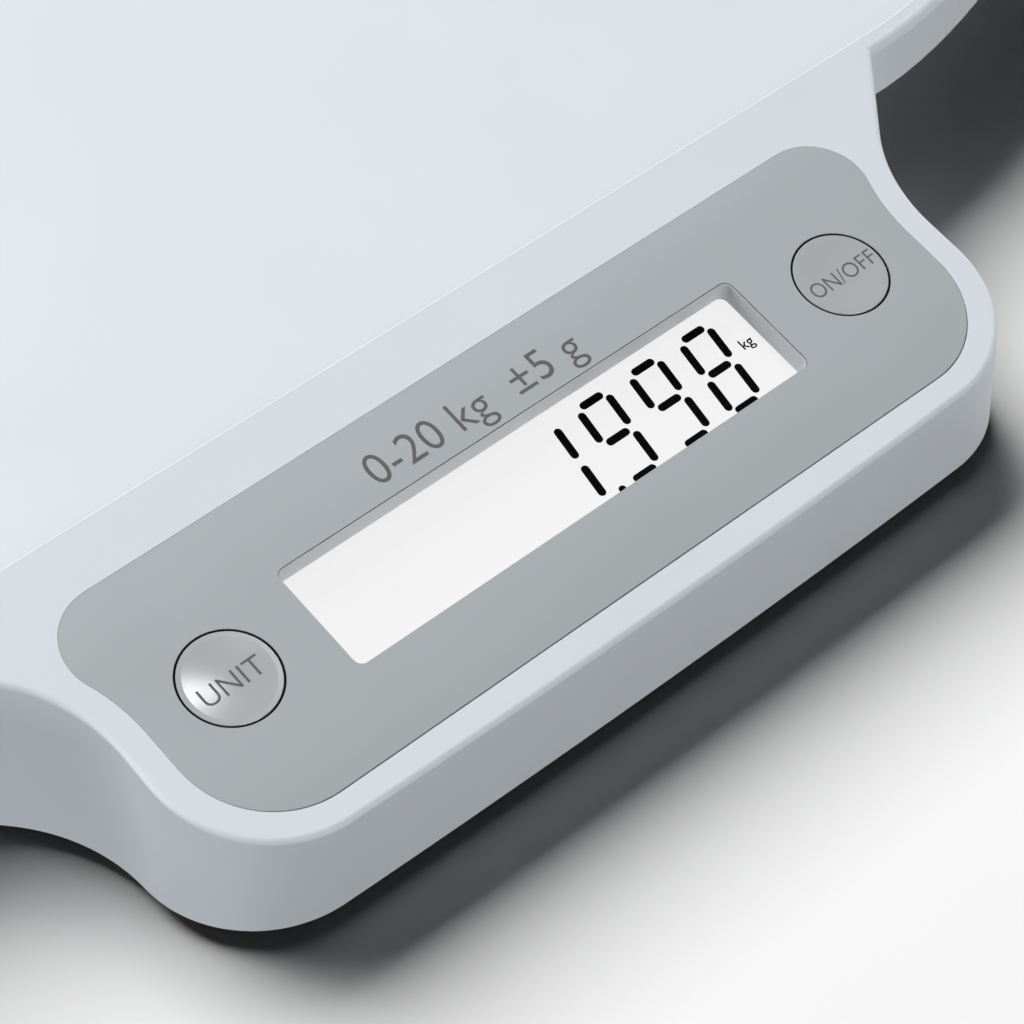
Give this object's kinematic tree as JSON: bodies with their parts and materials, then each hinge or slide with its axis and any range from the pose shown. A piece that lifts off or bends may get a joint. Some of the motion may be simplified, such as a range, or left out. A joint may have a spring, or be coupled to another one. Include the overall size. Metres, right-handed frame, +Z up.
{
  "type": "digital baby weighing scale",
  "caption": "Long raised-end tray with a sloped front console: sunk display, two push buttons, load-cell feet and a battery bay underneath.",
  "frame": {"origin": "under the middle of the whole scale's box, on the surface that the feet stand on", "axes": "+X to the right along the tray's length, +Y away from the console, +Z up"},
  "size_m": [0.486, 0.34, 0.0532],
  "materials": {
    "white_shell": "fine moulded texture",
    "panel_grey": "fine matte film",
    "bezel_grey": "satin",
    "clear_window": "clear",
    "display_glass": "polished",
    "light_guide": "polished",
    "black_rubber": "matte",
    "board_green": "solder mask",
    "chip_black": "matte",
    "socket_white": "satin",
    "button_grey": "gloss",
    "switch_black": "matte",
    "plunger_yellow": "satin",
    "steel": "nickel plated",
    "battery_wrap": "gloss sleeve",
    "cell_steel": "stamped",
    "seat_grey": "matte",
    "pad_rubber": "matte",
    "foot_white": "satin",
    "wire_grey": "satin",
    "wire_red": "satin"
  },
  "bodies": {
    "scale": {"backlight": "light_guide", "battery_1": "battery_wrap", "battery_2": "battery_wrap", "battery_3": "battery_wrap", "battery_4": "battery_wrap", "battery_lead": "wire_red", "board_screws": "steel", "bottom_housing": "white_shell", "cell_seat_back_left": "seat_grey", "cell_seat_back_right": "seat_grey", "cell_seat_front_left": "seat_grey", "cell_seat_front_right": "seat_grey", "cell_wire_back_left": "wire_grey", "cell_wire_back_right": "wire_grey", "cell_wire_front_left": "wire_grey", "cell_wire_front_right": "wire_grey", "display_bezel": "bezel_grey", "display_window": "clear_window", "foot_back_left": "foot_white", "foot_back_right": "foot_white", "foot_front_left": "foot_white", "foot_front_right": "foot_white", "foot_pad_back_left": "pad_rubber", "foot_pad_back_right": "pad_rubber", "foot_pad_front_left": "pad_rubber", "foot_pad_front_right": "pad_rubber", "housing_screws": "steel", "lcd_cell": "display_glass", "load_cell_back_left": "cell_steel", "load_cell_back_right": "cell_steel", "load_cell_front_left": "cell_steel", "load_cell_front_right": "cell_steel", "main_board": "board_green", "main_chip": "chip_black", "negative_contacts": "steel", "overlay_panel": "panel_grey", "positive_contacts": "steel", "power_switch": "switch_black", "top_shell": "white_shell", "unit_switch": "switch_black", "wire_connector": "socket_white", "zebra_strip": "black_rubber"},
    "unit_key": {"unit_button": "button_grey", "unit_plunger": "plunger_yellow"},
    "power_key": {"power_button": "button_grey", "power_plunger": "plunger_yellow"},
    "door": {"battery_door": "white_shell"}
  },
  "joints": [
    {"name": "unit_press", "type": "slide", "parent": "scale", "child": "unit_key", "axis": [0, 0.2079, -0.9781], "range_m": [0, 0.0008], "stiffness_N_per_m": 1500},
    {"name": "power_press", "type": "slide", "parent": "scale", "child": "power_key", "axis": [0, 0.2079, -0.9781], "range_m": [0, 0.0008], "stiffness_N_per_m": 1500},
    {"name": "door_slide", "type": "slide", "parent": "scale", "child": "door", "axis": [1, 0, 0], "range_m": [0, 0.006]}
  ]
}
